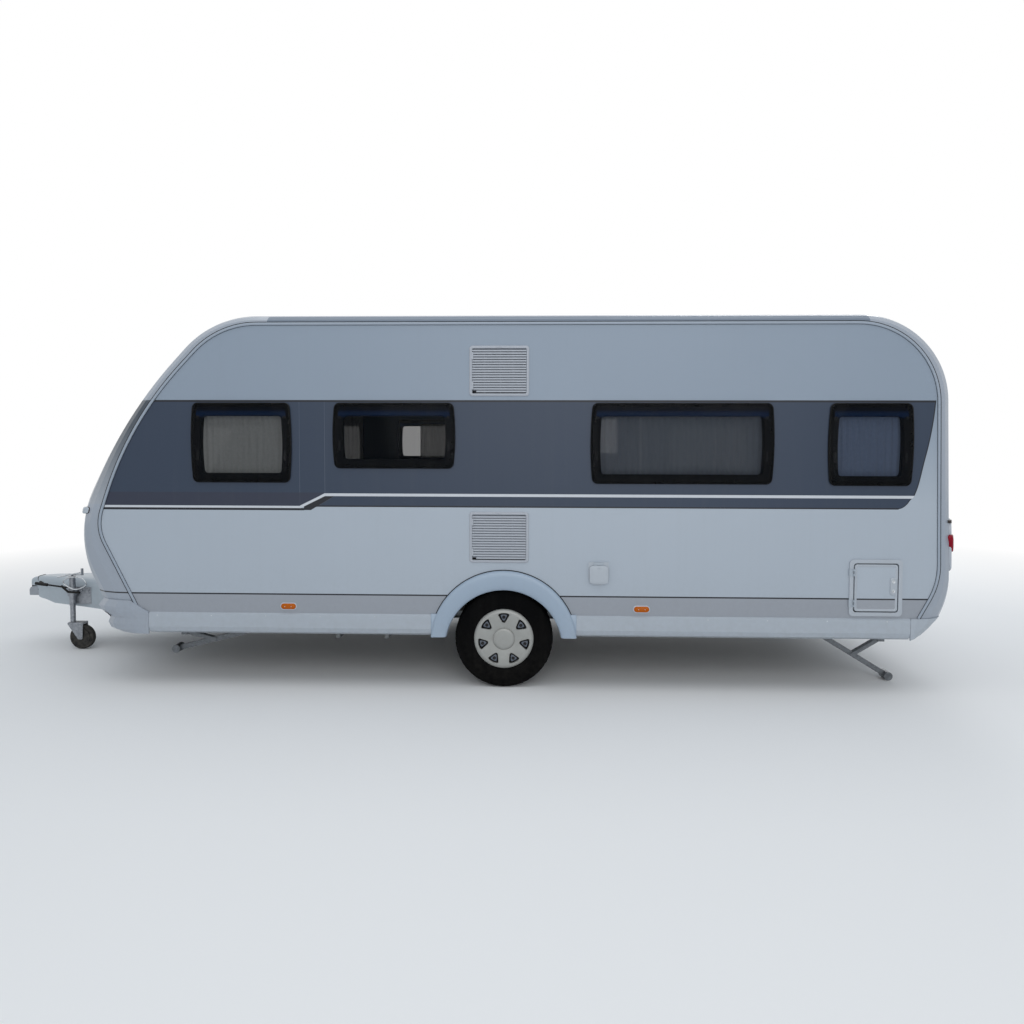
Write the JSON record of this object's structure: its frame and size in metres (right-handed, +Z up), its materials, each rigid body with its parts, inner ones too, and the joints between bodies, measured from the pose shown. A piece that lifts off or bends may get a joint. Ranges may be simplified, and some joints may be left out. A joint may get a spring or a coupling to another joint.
{
  "type": "single-axle travel caravan",
  "caption": "Touring caravan with a rounded cabin, smoked side windows, a covered drawbar with a jockey wheel, fold-down corner steadies, an entrance door and opening lids.",
  "frame": {"origin": "on the ground, under the middle of the overall length and width", "axes": "+X to the rear, away from the coupling; +Y to the right side, where the door is; +Z up"},
  "size_m": [7.175, 2.36, 2.678],
  "materials": {
    "wall_skin": "fine textured sandwich sheet, painted light silver grey",
    "shell_moulding": "smooth moulded shell, silver grey",
    "roof_skin": "smooth pale sheet",
    "edge_rail": "extruded rail, satin",
    "skirt_sheet": "extruded skirt, satin silver",
    "arch_moulding": "smooth moulding",
    "floor_board": "sealed board, dark",
    "wheel_box_liner": "dull black liner",
    "galvanised": "galvanised steel",
    "axle_steel": "galvanised steel",
    "tyre": "black rubber",
    "wheel_paint": "grey painted steel",
    "wheel_cover": "silver painted cover",
    "window_rim": "satin black",
    "window_acrylic": "smoked acrylic",
    "vent_plastic": "grey moulded grille",
    "fitting_white": "moulded pale grey",
    "hinge_metal": "satin",
    "lens_red": "red lens",
    "lens_amber": "amber lens",
    "lens_clear": "clear lens",
    "lamp_housing": "smooth moulded housing",
    "coupling_cast": "dark coated steel",
    "handle_black": "dull black grip",
    "drawbar_moulding": "moulded cover, pale grey",
    "jockey_steel": "zinc plated",
    "jockey_rubber": "solid rubber tyre on a hub",
    "steady_steel": "zinc plated",
    "cabinet_wood": "wood decor board",
    "locker_board": "plain board",
    "upholstery": "woven cloth",
    "curtain_cloth": "thin woven cloth"
  },
  "bodies": {
    "caravan": {"amber_lamps": "lens_amber", "axle": "axle_steel", "cabinets": "cabinet_wood", "chassis_frame": "galvanised", "coupling_head": "coupling_cast", "curtains": "curtain_cloth", "cushions": "upholstery", "drawbar_cover": "drawbar_moulding", "drawbar_frame": "galvanised", "edge_trims": "edge_rail", "floor_panel": "floor_board", "fridge_vents": "vent_plastic", "front_lamps": "lens_clear", "front_panel": "shell_moulding", "front_skirt": "shell_moulding", "front_window": "window_acrylic", "hand_levers": "handle_black", "hatch_frames": "fitting_white", "hinge_leaves": "hinge_metal", "jockey_clamp": "jockey_steel", "locker_boards": "locker_board", "rear_panel": "shell_moulding", "roof_panel": "roof_skin", "side_wall_left": "wall_skin", "side_wall_right": "wall_skin", "skirts": "skirt_sheet", "spare_carrier": "galvanised", "spare_tyre": "tyre", "steady_channels": "steady_steel", "tail_lamp_housings": "lamp_housing", "tail_lamp_red": "lens_red", "wheel_arches": "arch_moulding", "wheel_boxes": "wheel_box_liner", "window_frames": "window_rim", "window_panes": "window_acrylic"},
    "wheel_left": {"tyre_left": "tyre", "wheel_left": "wheel_paint", "hubcap_left": "wheel_cover"},
    "wheel_right": {"tyre_right": "tyre", "wheel_right": "wheel_paint", "hubcap_right": "wheel_cover"},
    "jockey_leg": {"jockey_tube": "jockey_steel"},
    "jockey_swivel": {"jockey_fork": "jockey_steel"},
    "jockey_roller": {"jockey_wheel": "jockey_rubber"},
    "leg_front_left": {"steady_leg_front_left": "steady_steel"},
    "leg_front_right": {"steady_leg_front_right": "steady_steel"},
    "leg_rear_left": {"steady_leg_rear_left": "steady_steel"},
    "leg_rear_right": {"steady_leg_rear_right": "steady_steel"},
    "strut_front_left": {"steady_strut_front_left": "steady_steel"},
    "strut_front_right": {"steady_strut_front_right": "steady_steel"},
    "strut_rear_left": {"steady_strut_rear_left": "steady_steel"},
    "strut_rear_right": {"steady_strut_rear_right": "steady_steel"},
    "door": {"entrance_door": "wall_skin", "door_window": "window_acrylic", "door_fittings": "window_rim"},
    "locker_lid_body": {"locker_lid": "shell_moulding"},
    "service_hatch": {"service_hatch": "fitting_white"},
    "inlet_flap": {"inlet_flap": "fitting_white"},
    "roof_hatch_1": {"roof_hatch_1": "fitting_white"},
    "roof_hatch_2": {"roof_hatch_2": "fitting_white"}
  },
  "joints": [
    {"name": "wheel_left_spin", "type": "hinge", "parent": "caravan", "child": "wheel_left", "pos_m": [0.5075, -1.0075, 0.342], "axis": [0, 1, 0], "continuous": true},
    {"name": "wheel_right_spin", "type": "hinge", "parent": "caravan", "child": "wheel_right", "pos_m": [0.5075, 1.0075, 0.342], "axis": [0, 1, 0], "continuous": true},
    {"name": "jockey_raise", "type": "slide", "parent": "caravan", "child": "jockey_leg", "axis": [0, 0, 1], "range_m": [0, 0.115]},
    {"name": "jockey_turn", "type": "hinge", "parent": "jockey_leg", "child": "jockey_swivel", "pos_m": [-3.0935, -0.232, 0.222], "axis": [0, 0, 1], "continuous": true},
    {"name": "jockey_wheel_spin", "type": "hinge", "parent": "jockey_swivel", "child": "jockey_roller", "pos_m": [-3.0135, -0.232, 0.1], "axis": [0, 1, 0], "continuous": true},
    {"name": "steady_front_left_lower", "type": "hinge", "parent": "caravan", "child": "strut_front_left", "pos_m": [-1.8725, -0.8, 0.3], "axis": [0, 1, 0], "range_deg": [-9, 17]},
    {"name": "steady_front_left_fold", "type": "hinge", "parent": "strut_front_left", "child": "leg_front_left", "pos_m": [-1.64933, -0.8, 0.24436], "axis": [0, 1, 0], "range_deg": [-34.2, 18.2]},
    {"name": "steady_front_right_lower", "type": "hinge", "parent": "caravan", "child": "strut_front_right", "pos_m": [-1.8725, 0.8, 0.3], "axis": [0, 1, 0], "range_deg": [-9, 17]},
    {"name": "steady_front_right_fold", "type": "hinge", "parent": "strut_front_right", "child": "leg_front_right", "pos_m": [-1.64933, 0.8, 0.24436], "axis": [0, 1, 0], "range_deg": [-34.2, 18.2]},
    {"name": "steady_rear_left_lower", "type": "hinge", "parent": "caravan", "child": "strut_rear_left", "pos_m": [3.2195, -0.8, 0.3], "axis": [0, -1, 0], "range_deg": [-26.28, 0]},
    {"name": "steady_rear_left_fold", "type": "hinge", "parent": "strut_rear_left", "child": "leg_rear_left", "pos_m": [3.02293, -0.8, 0.18058], "axis": [0, -1, 0], "range_deg": [-0.2, 52.76]},
    {"name": "steady_rear_right_lower", "type": "hinge", "parent": "caravan", "child": "strut_rear_right", "pos_m": [3.2195, 0.8, 0.3], "axis": [0, -1, 0], "range_deg": [-26.28, 0]},
    {"name": "steady_rear_right_fold", "type": "hinge", "parent": "strut_rear_right", "child": "leg_rear_right", "pos_m": [3.02293, 0.8, 0.18058], "axis": [0, -1, 0], "range_deg": [-0.2, 52.76]},
    {"name": "door_open", "type": "hinge", "parent": "caravan", "child": "door", "pos_m": [1.131, 1.158, 1.4425], "axis": [0, 0, 1], "range_deg": [0, 160]},
    {"name": "locker_lid_open", "type": "hinge", "parent": "caravan", "child": "locker_lid_body", "pos_m": [-2.56194, 0, 1.1785], "axis": [0, 1, 0], "range_deg": [0, 80]},
    {"name": "service_hatch_open", "type": "hinge", "parent": "caravan", "child": "service_hatch", "pos_m": [2.8745, -1.167, 0.729], "axis": [0, 0, -1], "range_deg": [0, 150]},
    {"name": "inlet_flap_open", "type": "hinge", "parent": "caravan", "child": "inlet_flap", "pos_m": [1.1565, -1.1713, 0.8615], "axis": [-1, 0, 0], "range_deg": [0, 100]},
    {"name": "roof_hatch_1_open", "type": "hinge", "parent": "caravan", "child": "roof_hatch_1", "pos_m": [1.1755, 0, 2.662], "axis": [0, 1, 0], "range_deg": [0, 60]},
    {"name": "roof_hatch_2_open", "type": "hinge", "parent": "caravan", "child": "roof_hatch_2", "pos_m": [2.9055, 0, 2.662], "axis": [0, 1, 0], "range_deg": [0, 60]}
  ],
  "couplings": [
    {"joint": "steady_front_left_fold", "follows": "steady_front_left_lower", "ratio": -2},
    {"joint": "steady_front_right_fold", "follows": "steady_front_right_lower", "ratio": -2},
    {"joint": "steady_rear_left_fold", "follows": "steady_rear_left_lower", "ratio": -2},
    {"joint": "steady_rear_right_fold", "follows": "steady_rear_right_lower", "ratio": -2}
  ]
}
